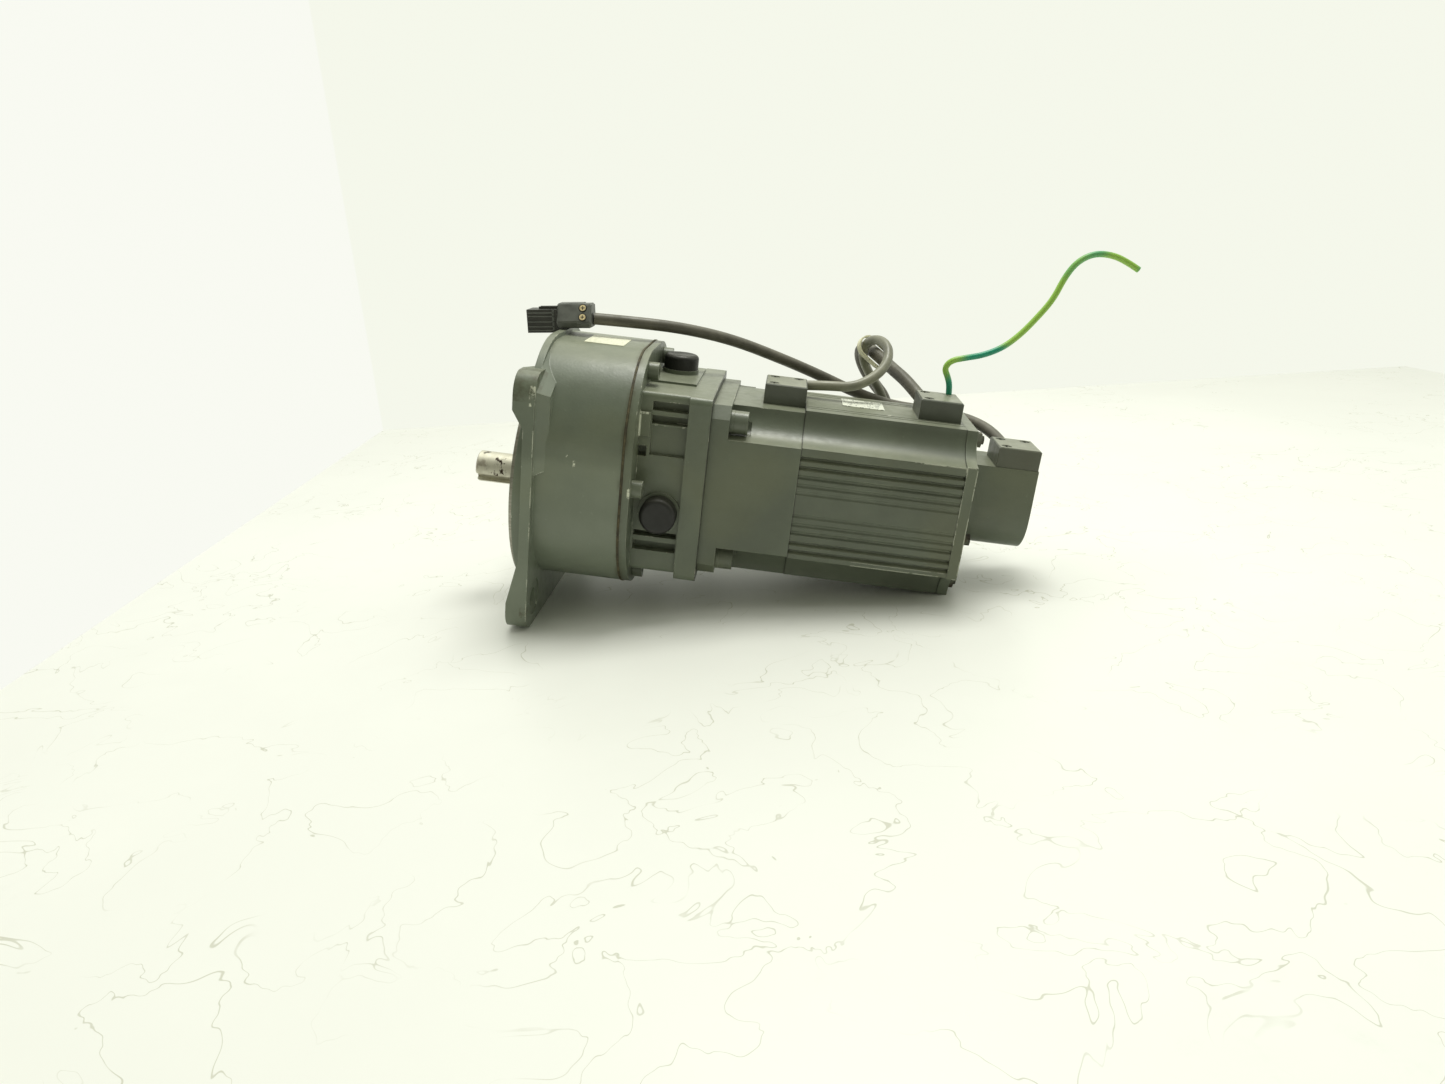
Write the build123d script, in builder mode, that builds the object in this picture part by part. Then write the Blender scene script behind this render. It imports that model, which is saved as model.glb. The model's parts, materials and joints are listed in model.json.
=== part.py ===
from build123d import *
import os
from math import acos, cos, pi, radians, sin, tan

# Servo gearmotor, output shaft horizontal.  All sizes in millimetres.
# Origin: centre of the output flange's mounting face, on the output shaft's axis.
# -X: the way the output shaft points.  +X: towards the encoder.  +Z: up, the lead outlets' side.

# ---- driving dimensions -------------------------------------------------------------------
OFFSET = 15.0            # motor axis above the output axis
CASE_Z = 17.0            # centre height of the gear case's rounded-square outline
FLANGE_HALF = 75.0       # output flange, half its side
EAR_STEP = 6.0           # ear pads stand this far in front of the plate
FLANGE_BACK = 12.0
PILOT_R = 65.0
PILOT_LEN = 3.0
FLANGE_PCD = 165.0
FLANGE_HOLE_R = 5.5
CASE_HALF = 70.0
CASE_CORNER = 52.0
CASE_END = 60.0
GASKET = 1.0
BELL_START = CASE_END + GASKET
BELL_FLANGE_END = 65.4
BELL_WEB = 70.0          # rear face of the wall that carries the bearings
BELL_REAR = 92.2
BELL_END = 104.8
BELL_HALF = 51.0         # near, far and lower walls; the top is level with the rear flange
BELL_FLANGE_Y = 53.5     # rear flange, half width and half height
BELL_FLANGE_Z = 54.0
MOTOR_HALF = 50.0
MOTOR_PCD = 115.0
PLATE_END = 115.0        # motor flange plate, rear face
SEAM = 156.3             # bracket to stator seam
STATOR_END = 248.2
REAR_END = 254.2
COVER_END = 295.5
LAND = 30.0              # half width of the motor's top and bottom lands
LEDGE = 32.0             # half height of the motor's side lands
SHAFT_R = 9.5
SHAFT_TIP = -40.0
LAY_Y = 28.168           # layshaft axis
LAY_Z = 29.1
# case screws: (Y, Z)
CASE_SCREWS = [(-31, 77), (31, 77), (-62.5, 16), (62.5, 16), (-31, -43), (31, -43)]
SCREW_BOSS_R = 7.0

BASE = (Align.CENTER, Align.CENTER, Align.MIN)
os.makedirs("parts", exist_ok=True)


def save(builder, name):
    builder.part.label = name
    export_step(builder.part, "parts/" + name + ".step")


def along(x, y=0.0, z=0.0):
    """Location whose local Z runs along +X."""
    return Location((x, y, z), (0, 90, 0))


def up_at(x, y, z):
    return Location((x, y, z))


def rounded(x, half_y, half_z, corner, y=0.0, z=0.0):
    """Rounded rectangle across the shaft axis at station x."""
    with BuildSketch(Plane.YZ.offset(x)) as sketch:
        with Locations((y, z)):
            RectangleRounded(2 * half_y, 2 * half_z, corner)
    return sketch.sketch


def plus_outline(x, half, top, cove):
    """Cross-shaped motor section: four concave round corners, side lands reaching LEDGE, top lands LAND."""
    with BuildSketch(Plane.YZ.offset(x)) as sketch:
        with Locations((0, OFFSET)):
            Rectangle(2 * half, 2 * half)
        with Locations((0, OFFSET + half)):
            Rectangle(2 * half, 2 * (half - top), mode=Mode.SUBTRACT)
        for sy in (-1, 1):
            for sz in (-1, 1):
                with Locations((sy * half, OFFSET + sz * half)):
                    Ellipse(half - LAND + cove, half - LEDGE + cove, mode=Mode.SUBTRACT)
    return sketch.sketch


def gear_outline(x, y, z, module, teeth, shift, phase, backlash=0.2, steps=5):
    """Involute spur gear, 20 degree pressure angle, profile shift in modules, a tooth at phase radians."""
    angle = radians(20)
    base_r = module * teeth / 2 * cos(angle)
    tip_r = module * (teeth / 2 + 1 + shift)
    root_r = module * (teeth / 2 - 1.25 + shift)
    half = (pi / 2 + 2 * shift * tan(angle)) / teeth - backlash / (module * teeth)
    start_r = max(base_r, root_r)
    flank = []
    for i in range(steps):
        r = start_r + (tip_r - start_r) * i / (steps - 1)
        a = acos(min(1.0, base_r / r))
        flank.append((r, half + tan(angle) - angle - tan(a) + a))
    if root_r < base_r:
        flank.insert(0, (root_r, flank[0][1]))
    points = []
    for k in range(teeth):
        c = phase + 2 * pi * k / teeth
        for r, t in flank:
            points.append((r * cos(c - t), r * sin(c - t)))
        for r, t in reversed(flank):
            points.append((r * cos(c + t), r * sin(c + t)))
    with BuildSketch(Plane.YZ.offset(x)) as sketch:
        with BuildLine():
            Polyline(*[(y + p, z + q) for p, q in points], close=True)
        make_face()
    return sketch.sketch


def ring_part(name, spots, outer, inner, width):
    """Plain rings of one size at each (x, y, z)."""
    with BuildPart() as ring:
        for x, y, z in spots:
            with Locations(along(x, y, z)):
                Cylinder(outer, width, align=BASE)
                Cylinder(inner, width, align=BASE, mode=Mode.SUBTRACT)
    save(ring, name)


def ball_bearing(name, spots, bore_r, outer_r, width, balls):
    """Outer rings with their balls in one node, inner rings in another."""
    mid_r = (bore_r + outer_r) / 2
    ball_r = 0.30 * (outer_r - bore_r)
    land = 0.45 * ball_r
    with BuildPart() as outer:
        for x, y, z in spots:
            with Locations(along(x, y, z)):
                Cylinder(outer_r, width, align=BASE)
                Cylinder(mid_r + land, width, align=BASE, mode=Mode.SUBTRACT)
            with Locations(along(x + width / 2, y, z)):
                Torus(mid_r, ball_r + 0.05, mode=Mode.SUBTRACT)
            with Locations(along(x + width / 2, y, z)):
                with PolarLocations(mid_r, balls):
                    Sphere(ball_r)
    save(outer, name + "_outer")
    with BuildPart() as inner:
        for x, y, z in spots:
            with Locations(along(x, y, z)):
                Cylinder(mid_r - land, width, align=BASE)
                Cylinder(bore_r, width, align=BASE, mode=Mode.SUBTRACT)
            with Locations(along(x + width / 2, y, z)):
                Torus(mid_r, ball_r + 0.05, mode=Mode.SUBTRACT)
    save(inner, name + "_inner")


def corners(half_y, half_z, z=0.0):
    return [(sy * half_y, z + sz * half_z) for sy in (-1, 1) for sz in (-1, 1)]


# ---- gear case ----------------------------------------------------------------------------
WALL = 7.5
RIM = 2.5                # plate shows this far outside the case outline
RIM_END = 10.0
WEB_LENGTH = 9.0
WEB_SLOPE = 28.0         # degrees
HOLE = FLANGE_PCD / 2 / 2 ** 0.5
SEAL_BORE = 23.5         # seal and output bearings share one bore
HUB_END = 32.5
LAY_FRONT = 13.0
SCREW_HOLE = 14.0

with BuildPart() as gear_case:
    extrude(rounded(0, FLANGE_HALF, FLANGE_HALF, 12), amount=FLANGE_BACK)
    # the plate between the four ear pads is set back, with sloped shoulders
    for plane, low, low_floor, high_floor, high in ((Plane.XZ, -57.5, -31, 45, 55), (Plane.XY, -56, -46, 46, 56)):
        with BuildSketch(plane) as recess:
            with BuildLine():
                Polyline((-1, low), (0, low), (EAR_STEP, low_floor), (EAR_STEP, high_floor), (0, high), (-1, high),
                         close=True)
            make_face()
        extrude(recess.sketch, amount=FLANGE_HALF + 5, both=True, mode=Mode.SUBTRACT)
    extrude(rounded(EAR_STEP, CASE_HALF + RIM, CASE_HALF + RIM, CASE_CORNER + RIM, 0, CASE_Z),
            amount=RIM_END - EAR_STEP)
    extrude(rounded(RIM_END, CASE_HALF, CASE_HALF, CASE_CORNER, 0, CASE_Z), amount=CASE_END - RIM_END)
    # sloped webs that carry the upper ears on the round corners of the case
    for side in (-1, 1):
        with BuildSketch(Plane.YZ.offset(RIM_END)) as web:
            with BuildLine():
                Polyline((side * 74, 18), (side * 74, 66), (side * 41, 82.5), (side * 30, 60), (side * 55, 18),
                         close=True)
            make_face()
        extrude(web.sketch, amount=WEB_LENGTH, taper=WEB_SLOPE)
    with Locations(along(0)):
        Cylinder(PILOT_R + 5, EAR_STEP, align=BASE)
    with Locations(along(-PILOT_LEN)):
        Cylinder(PILOT_R, PILOT_LEN, align=BASE)
    inner = CASE_HALF - WALL
    extrude(rounded(FLANGE_BACK, inner, inner, CASE_CORNER - WALL, 0, CASE_Z),
            amount=CASE_END - FLANGE_BACK, mode=Mode.SUBTRACT)
    with Locations(*[along(FLANGE_BACK, y, z) for y, z in CASE_SCREWS]):
        Cylinder(SCREW_BOSS_R, CASE_END - FLANGE_BACK, align=BASE)
    with Locations(along(FLANGE_BACK)):
        Cylinder(SEAL_BORE + 5, HUB_END - FLANGE_BACK, align=BASE)
    with Locations(along(FLANGE_BACK, LAY_Y, LAY_Z)):
        Cylinder(17, 9, align=BASE)
    # the upper ear holes end blind against the case wall
    with Locations(along(FLANGE_BACK, -HOLE, HOLE), along(FLANGE_BACK, HOLE, HOLE)):
        Cylinder(9, 3, align=BASE)
    with Locations(*[along(0, y, z) for y, z in corners(HOLE, HOLE)]):
        Cylinder(FLANGE_HOLE_R, FLANGE_BACK, align=BASE, mode=Mode.SUBTRACT)
    with Locations(along(FLANGE_BACK - 0.8, -HOLE, -HOLE), along(FLANGE_BACK - 0.8, HOLE, -HOLE)):
        Cylinder(11, 2, align=BASE, mode=Mode.SUBTRACT)
    with Locations(along(-PILOT_LEN)):
        Cylinder(SEAL_BORE, HUB_END + PILOT_LEN, align=BASE, mode=Mode.SUBTRACT)
    with Locations(along(LAY_FRONT, LAY_Y, LAY_Z)):
        Cylinder(13, 8, align=BASE, mode=Mode.SUBTRACT)
    with Locations(*[along(CASE_END - SCREW_HOLE, y, z) for y, z in CASE_SCREWS]):
        Cylinder(3, SCREW_HOLE, align=BASE, mode=Mode.SUBTRACT)
save(gear_case, "gear_case")

with BuildPart() as case_gasket:
    extrude(rounded(CASE_END, CASE_HALF + 0.4, CASE_HALF + 0.4, CASE_CORNER + 0.4, 0, CASE_Z), amount=GASKET)
    extrude(rounded(CASE_END, inner, inner, CASE_CORNER - WALL, 0, CASE_Z), amount=GASKET, mode=Mode.SUBTRACT)
    with Locations(*[along(CASE_END, y, z) for y, z in CASE_SCREWS]):
        Cylinder(SCREW_BOSS_R, GASKET, align=BASE)
        Cylinder(3, GASKET, align=BASE, mode=Mode.SUBTRACT)
save(case_gasket, "case_gasket")

with BuildPart() as gearbox_label:
    with Locations(up_at(36.5, -4.5, CASE_Z + CASE_HALF)):
        Box(23, 30, 0.3, align=BASE)
save(gearbox_label, "gearbox_label")

# ---- bell housing -------------------------------------------------------------------------
INPUT_SEAT = 61.0        # input bearing, 35 x 17 x 10
LAY_REAR = 60.5          # layshaft rear bearing, 22 x 8 x 7
BORE_R = 44.0
SPIGOT_R = 47.5
MOTOR_HOLE = MOTOR_PCD / 2 / 2 ** 0.5
SIDE_PLUG = (80.5, 0.5)
TOP_PLUG = (78.5, 17.0)
TOP_PAD = 70.2           # raised far part of the top
TOP_BOSS = 72.6
PLUG_R = 8.0
SLOT_DEPTH = 6.5
# slots in the near and far walls: lower and upper edge above the motor axis
UPPER_SLOTS = [(44.0, 49.2), (36.6, 41.4)]
LOWER_SLOTS = [(-29.6, -26.4), (-38.2, -32.6)]
UPPER_SLOT_X = 82.0
UPPER_SLOT_LENGTH = 20.0
LOWER_SLOT_X = 79.0
LOWER_SLOT_LENGTH = 25.0
POCKET_Z = 27.2
POCKET_HEIGHT = 17.0
NAME_PAD = (6.2, 3.6, 13.6)
NAME_PAD_Z = 36.1
NOTCH = (4.8, 8.0, 6.0)
NOTCH_Z = 20.5
TOP_PAD_Y = 9.5
TOP_PAD_WIDTH = 59.0
PLUG_BOSS_R = 11.0
SIDE_BOSS_R = 12.2

with BuildPart() as bell_housing:
    extrude(rounded(BELL_START, CASE_HALF, CASE_HALF, CASE_CORNER, 0, CASE_Z),
            amount=BELL_FLANGE_END - BELL_START)
    body_high = (BELL_FLANGE_Z + BELL_HALF) / 2
    extrude(rounded(BELL_FLANGE_END, BELL_HALF, body_high, 3, 0, OFFSET + BELL_FLANGE_Z - body_high),
            amount=BELL_REAR - BELL_FLANGE_END)
    extrude(rounded(BELL_REAR, BELL_FLANGE_Y, BELL_FLANGE_Z, 4, 0, OFFSET), amount=BELL_END - BELL_REAR)
    with Locations(along(BELL_WEB, 0, OFFSET)):
        Cylinder(BORE_R, BELL_END - BELL_WEB, align=BASE, mode=Mode.SUBTRACT)
    with Locations(along(BELL_END - 3, 0, OFFSET)):
        Cylinder(SPIGOT_R, 3, align=BASE, mode=Mode.SUBTRACT)
    with Locations(along(BELL_WEB - 1, 0, OFFSET)):
        Cylinder(23, 4, align=BASE)
    # raised far part of the top with the boss round its access hole
    with Locations(((BELL_FLANGE_END + BELL_REAR) / 2, TOP_PAD_Y, OFFSET + BELL_FLANGE_Z)):
        Box(BELL_REAR - BELL_FLANGE_END, TOP_PAD_WIDTH, TOP_PAD - OFFSET - BELL_FLANGE_Z, align=BASE)
    with Locations(up_at(TOP_PLUG[0], TOP_PLUG[1], TOP_PAD)):
        Cylinder(PLUG_BOSS_R, TOP_BOSS - TOP_PAD, align=BASE)
    for side in (-1, 1):
        with Locations(Location((SIDE_PLUG[0], side * (BELL_HALF - 6), SIDE_PLUG[1]), (-side * 90, 0, 0))):
            Cylinder(SIDE_BOSS_R, 7.5, align=BASE)
        # slots above and below the solid band, and the shallow pocket
        for low, high in UPPER_SLOTS:
            with Locations((UPPER_SLOT_X, side * BELL_HALF, OFFSET + (low + high) / 2)):
                Box(UPPER_SLOT_LENGTH, 2 * SLOT_DEPTH, high - low, mode=Mode.SUBTRACT)
        with Locations((UPPER_SLOT_X, side * BELL_HALF, OFFSET + POCKET_Z)):
            Box(UPPER_SLOT_LENGTH, 6, POCKET_HEIGHT, mode=Mode.SUBTRACT)
        for low, high in LOWER_SLOTS:
            with Locations((LOWER_SLOT_X, side * BELL_HALF, OFFSET + (low + high) / 2)):
                Box(LOWER_SLOT_LENGTH, 2 * SLOT_DEPTH, high - low, mode=Mode.SUBTRACT)
        # raised name pad beside the flange, and the notch below it
        with Locations((BELL_FLANGE_END + NAME_PAD[0] / 2, side * (BELL_HALF + 0.8), OFFSET + NAME_PAD_Z)):
            Box(*NAME_PAD)
        with Locations((BELL_FLANGE_END + NOTCH[0] / 2, side * (BELL_HALF - 2), OFFSET + NOTCH_Z)):
            Box(*NOTCH, mode=Mode.SUBTRACT)
        with Locations(Location((SIDE_PLUG[0], side * 38, SIDE_PLUG[1]), (-side * 90, 0, 0))):
            Cylinder(PLUG_R, 20, align=BASE, mode=Mode.SUBTRACT)
    with Locations(up_at(TOP_PLUG[0], TOP_PLUG[1], OFFSET + 34)):
        Cylinder(PLUG_R, 30, align=BASE, mode=Mode.SUBTRACT)
    with Locations(*[along(BELL_START, y, z) for y, z in CASE_SCREWS]):
        Cylinder(3, 10, align=BASE, mode=Mode.SUBTRACT)
    with Locations(*[along(BELL_REAR, y, z) for y, z in corners(MOTOR_HOLE, MOTOR_HOLE, OFFSET)]):
        Cylinder(4, 13, align=BASE, mode=Mode.SUBTRACT)
    with Locations(along(BELL_START, 0, OFFSET)):
        Cylinder(13, 12, align=BASE, mode=Mode.SUBTRACT)
    with Locations(along(INPUT_SEAT, 0, OFFSET)):
        Cylinder(17.5, 10, align=BASE, mode=Mode.SUBTRACT)
    with Locations(along(LAY_REAR, LAY_Y, LAY_Z)):
        Cylinder(11, 7, align=BASE, mode=Mode.SUBTRACT)
save(bell_housing, "bell_housing")


def cap_screws(name, spots, shank_r, length, head_r, head_h, socket_af):
    """Socket head cap screws, head to +X, seat at the given point."""
    with BuildPart() as screws:
        for x, y, z in spots:
            with Locations(along(x - length, y, z)):
                Cylinder(shank_r, length, align=BASE)
            with Locations(along(x, y, z)):
                Cylinder(head_r, head_h, align=BASE)
            with BuildSketch(Plane.YZ.offset(x + head_h)):
                with Locations((y, z)):
                    RegularPolygon(socket_af / 2, 6, major_radius=False)
            extrude(amount=-head_h * 0.55, mode=Mode.SUBTRACT)
    save(screws, name)


cap_screws("case_screws", [(BELL_FLANGE_END, y, z) for y, z in CASE_SCREWS], 3, 18, 5, 6, 5)

WASHER = 2.0
MOTOR_SPOTS = [(PLATE_END + WASHER, y, z) for y, z in corners(MOTOR_HOLE, MOTOR_HOLE, OFFSET)]
cap_screws("motor_screws", MOTOR_SPOTS, 4, 24, 6.5, 8, 6)
ring_part("spring_washers", [(PLATE_END, y, z) for x, y, z in MOTOR_SPOTS], 6.6, 4, WASHER)


# domed rubber plugs: a cap standing on the casting, a stub in the hole
PLUG_CAP_R = 10.5
PLUG_CAP_H = 8.8
SIDE_BOSS = BELL_HALF + 1.5
PLUG_SPOTS = [
    up_at(TOP_PLUG[0], TOP_PLUG[1], TOP_BOSS),
    Location((SIDE_PLUG[0], -SIDE_BOSS, SIDE_PLUG[1]), (90, 0, 0)),
    Location((SIDE_PLUG[0], SIDE_BOSS, SIDE_PLUG[1]), (-90, 0, 0)),
]
with BuildPart() as one_plug:
    Cylinder(PLUG_CAP_R, PLUG_CAP_H, align=BASE)
    fillet(one_plug.edges().filter_by(GeomType.CIRCLE).sort_by(Axis.Z)[-1], 2.6)
    with Locations((0, 0, -5)):
        Cylinder(PLUG_R, 5, align=BASE)
with BuildPart() as access_plugs:
    with Locations(*PLUG_SPOTS):
        add(one_plug.part)
save(access_plugs, "access_plugs")

# ---- output side --------------------------------------------------------------------------
SEAT_R = 10.0            # bearing seats on the output shaft
GEAR2_X = 34.0
GEAR2_W = 12.0
OUT_END = 47.0

with BuildPart() as oil_seal:
    with Locations(along(-1.5)):
        Cylinder(SEAL_BORE, 5.5, align=BASE)
        Cylinder(SEAT_R + 0.05, 5.5, align=BASE, mode=Mode.SUBTRACT)
        Cylinder(20, 2, align=BASE, mode=Mode.SUBTRACT)
        Cylinder(13, 3, align=BASE)
        Cylinder(SEAT_R + 0.05, 5.5, align=BASE, mode=Mode.SUBTRACT)
save(oil_seal, "output_oil_seal")

ball_bearing("output_bearing", [(4.5, 0, 0), (18.5, 0, 0)], SEAT_R, SEAL_BORE, 14, 8)

KEY_W = 6.0
with BuildPart() as output_shaft:
    with Locations(along(SHAFT_TIP)):
        Cylinder(SHAFT_R, -SHAFT_TIP - 2, align=BASE)
    chamfer(output_shaft.edges().filter_by(GeomType.CIRCLE).sort_by(Axis.X)[:1], 0.8)
    with Locations(along(-2)):
        Cylinder(SEAT_R, GEAR2_X + 2, align=BASE)
    with Locations(along(GEAR2_X)):
        Cylinder(9, OUT_END - GEAR2_X, align=BASE)
    # open keyway on the lower near side
    with Locations(Location((SHAFT_TIP - 1, 0, 0), (125, 0, 0))):
        with Locations((17, 0, SHAFT_R - 3.5)):
            Box(36, KEY_W, 8, align=BASE, mode=Mode.SUBTRACT)
save(output_shaft, "output_shaft")

from_out = (LAY_Y ** 2 + LAY_Z ** 2) ** 0.5
MESH_OUT = acos(LAY_Y / from_out)                 # direction from the output axis to the layshaft
MESH_IN = acos(LAY_Y / (LAY_Y ** 2 + (LAY_Z - OFFSET) ** 2) ** 0.5)  # from the motor axis to it
SHIFT = 0.5
with BuildPart() as output_gear:
    extrude(gear_outline(GEAR2_X, 0, 0, 1.5, 40, -SHIFT, MESH_OUT + pi / 40), amount=GEAR2_W)
    with Locations(along(GEAR2_X)):
        Cylinder(9, GEAR2_W, align=BASE, mode=Mode.SUBTRACT)
    with Locations(along(GEAR2_X)):
        with PolarLocations(19, 6):
            Cylinder(4.5, GEAR2_W, align=BASE, mode=Mode.SUBTRACT)
save(output_gear, "output_gear")
ring_part("output_gear_circlip", [(GEAR2_X + GEAR2_W, 0, 0)], 11.5, 9, 1.0)

# ---- layshaft -----------------------------------------------------------------------------
GEAR1_X = 48.0
GEAR1_W = 9.0
with BuildPart() as layshaft:
    with Locations(along(LAY_FRONT + 0.3, LAY_Y, LAY_Z)):
        Cylinder(5, 8.2, align=BASE)
    with Locations(along(21.5, LAY_Y, LAY_Z)):
        Cylinder(7, GEAR1_X - 21.5, align=BASE)
    with Locations(along(GEAR1_X, LAY_Y, LAY_Z)):
        Cylinder(6.5, GEAR1_W + 2.5, align=BASE)
    with Locations(along(GEAR1_X + GEAR1_W + 2.5, LAY_Y, LAY_Z)):
        Cylinder(4, 7.7, align=BASE)
    extrude(gear_outline(33.5, LAY_Y, LAY_Z, 1.5, 14, SHIFT, MESH_OUT + pi), amount=13)
save(layshaft, "layshaft_pinion")
with BuildPart() as layshaft_gear:
    extrude(gear_outline(GEAR1_X, LAY_Y, LAY_Z, 1.0, 49, -SHIFT, MESH_IN + pi + pi / 49), amount=GEAR1_W)
    with Locations(along(GEAR1_X, LAY_Y, LAY_Z)):
        Cylinder(6.5, GEAR1_W, align=BASE, mode=Mode.SUBTRACT)
save(layshaft_gear, "layshaft_gear")
ball_bearing("layshaft_front_bearing", [(LAY_FRONT, LAY_Y, LAY_Z)], 5, 13, 8, 7)
ball_bearing("layshaft_rear_bearing", [(LAY_REAR, LAY_Y, LAY_Z)], 4, 11, 7, 7)

# ---- input pinion with clamp hub ----------------------------------------------------------
HUB_X = 75.0
HUB_W = 18.0
with BuildPart() as input_pinion:
    extrude(gear_outline(GEAR1_X - 0.5, 0, OFFSET, 1.0, 14, SHIFT, MESH_IN), amount=10)
    with Locations(along(GEAR1_X + 9.5, 0, OFFSET)):
        Cylinder(7.5, 4, align=BASE)
    with Locations(along(INPUT_SEAT, 0, OFFSET)):
        Cylinder(8.5, 12, align=BASE)
    with Locations(along(72.5, 0, OFFSET)):
        Cylinder(11, 3, align=BASE)
    with Locations(along(HUB_X, 0, OFFSET)):
        Cylinder(20, HUB_W, align=BASE)
        Cylinder(9.5, HUB_W, align=BASE, mode=Mode.SUBTRACT)
    with Locations((HUB_X + HUB_W / 2, 0, OFFSET + 15)):
        Box(HUB_W, 1.6, 12, mode=Mode.SUBTRACT)
    with Locations(Location((HUB_X + HUB_W / 2, -21, OFFSET + 14), (-90, 0, 0))):
        Cylinder(2.5, 42, align=BASE, mode=Mode.SUBTRACT)
    with Locations(Location((HUB_X + HUB_W / 2, -21, OFFSET + 14), (-90, 0, 0))):
        Cylinder(4.3, 12, align=BASE, mode=Mode.SUBTRACT)
save(input_pinion, "input_pinion")
with BuildPart() as clamp_screw:
    with Locations(Location((HUB_X + HUB_W / 2, -9, OFFSET + 14), (-90, 0, 0))):
        Cylinder(2.5, 21, align=BASE)
    with Locations(Location((HUB_X + HUB_W / 2, -14, OFFSET + 14), (-90, 0, 0))):
        Cylinder(4.25, 5, align=BASE)
save(clamp_screw, "clamp_screw")
ball_bearing("input_bearing", [(INPUT_SEAT, 0, OFFSET)], 8.5, 17.5, 10, 9)

# ---- motor front bracket, with the holding brake inside -----------------------------------
BRAKE_R = 37.0
TOP_DROP = 1.5
FRONT_SEAT = 106.0       # front motor bearing, 42 x 20 x 12
SCREW_ROOM_R = 7.5
SCREW_ROOM = 12.0
with BuildPart() as front_bracket:
    with BuildSketch(Plane.YZ.offset(BELL_END)) as plate:
        with Locations((0, OFFSET)):
            Rectangle(2 * MOTOR_HALF, 2 * MOTOR_HALF)
        chamfer(plate.vertices(), 7)
    extrude(amount=PLATE_END - BELL_END)
    extrude(plus_outline(PLATE_END, MOTOR_HALF, MOTOR_HALF - TOP_DROP, 0), amount=SEAM - PLATE_END)
    # the coves open out round the flange screws
    with Locations(*[along(PLATE_END, y, z) for y, z in corners(MOTOR_HOLE, MOTOR_HOLE, OFFSET)]):
        Cylinder(SCREW_ROOM_R, SCREW_ROOM, align=BASE, mode=Mode.SUBTRACT)
    with Locations(along(BELL_END - 3, 0, OFFSET)):
        Cylinder(SPIGOT_R, 3, align=BASE)
        Cylinder(12, 6, align=BASE, mode=Mode.SUBTRACT)
    with Locations(along(FRONT_SEAT, 0, OFFSET)):
        Cylinder(21, 12, align=BASE, mode=Mode.SUBTRACT)
    with Locations(along(FRONT_SEAT + 12, 0, OFFSET)):
        Cylinder(BRAKE_R, SEAM - FRONT_SEAT - 12, align=BASE, mode=Mode.SUBTRACT)
    with Locations(*[along(BELL_END, y, z) for y, z in corners(MOTOR_HOLE, MOTOR_HOLE, OFFSET)]):
        Cylinder(4, PLATE_END - BELL_END, align=BASE, mode=Mode.SUBTRACT)
save(front_bracket, "motor_front_bracket")
ring_part("motor_shaft_seal", [(BELL_END - 3, 0, OFFSET)], 12, SHAFT_R + 0.05, 3)
ball_bearing("motor_front_bearing", [(FRONT_SEAT, 0, OFFSET)], 10, 21, 12, 9)

with BuildPart() as brake_magnet:
    with Locations(along(119, 0, OFFSET)):
        Cylinder(BRAKE_R, 16, align=BASE)
        Cylinder(14, 16, align=BASE, mode=Mode.SUBTRACT)
    with Locations(along(123, 0, OFFSET)):
        Cylinder(31, 12, align=BASE, mode=Mode.SUBTRACT)
        Cylinder(20, 12, align=BASE)
        Cylinder(14, 12, align=BASE, mode=Mode.SUBTRACT)
save(brake_magnet, "brake_magnet")
ring_part("brake_coil", [(123, 0, OFFSET)], 31, 20, 11.5)
ring_part("brake_plates", [(136, 0, OFFSET), (149, 0, OFFSET)], BRAKE_R, 15, 4)
with BuildPart() as brake_disc:
    with Locations(along(141.4, 0, OFFSET)):
        Cylinder(34, 6, align=BASE)
    with Locations(along(138, 0, OFFSET)):
        Cylinder(14, 13, align=BASE)
        Cylinder(10, 13, align=BASE, mode=Mode.SUBTRACT)
save(brake_disc, "brake_disc")

# ---- stator -------------------------------------------------------------------------------
COVE_STEP = 0.6          # the stator's coves are this much smaller than the front bracket's
CORE_R = 41.0
# grooves along the side lands: height from the motor axis, depth
GROOVES = [(6.8, 0.6), (11.2, 0.8), (16.0, 1.2), (21.4, 2.2), (26.6, 2.6),
           (-6.7, 0.6), (-12.0, 0.8), (-17.0, 1.2), (-23.3, 2.2), (-28.4, 2.6)]
GROOVE_MOUTH = 1.5       # half width at the surface
GROOVE_FLOOR = 0.4       # half width at the bottom
with BuildPart() as stator_housing:
    extrude(plus_outline(SEAM, MOTOR_HALF, MOTOR_HALF, -COVE_STEP), amount=STATOR_END - SEAM)
    with Locations(along(SEAM, 0, OFFSET)):
        Cylinder(CORE_R, STATOR_END - SEAM, align=BASE, mode=Mode.SUBTRACT)
    middle = (SEAM + STATOR_END) / 2
    length = STATOR_END - SEAM
    for height, depth in GROOVES:
        for side in (-1, 1):
            with BuildSketch(Plane.YZ.offset(SEAM)) as groove:
                with BuildLine():
                    Polyline((side * (MOTOR_HALF + 0.1), OFFSET + height - GROOVE_MOUTH),
                             (side * (MOTOR_HALF - depth), OFFSET + height - GROOVE_FLOOR),
                             (side * (MOTOR_HALF - depth), OFFSET + height + GROOVE_FLOOR),
                             (side * (MOTOR_HALF + 0.1), OFFSET + height + GROOVE_MOUTH), close=True)
                make_face()
            extrude(groove.sketch, amount=length, mode=Mode.SUBTRACT)
    # fine lines along the top and bottom lands
    for across in (-22, -17, 20, 25):
        for updown in (-1, 1):
            with Locations((middle, across, OFFSET + updown * MOTOR_HALF)):
                Box(length, 1.0, 1.6, mode=Mode.SUBTRACT)
save(stator_housing, "stator_housing")

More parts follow.
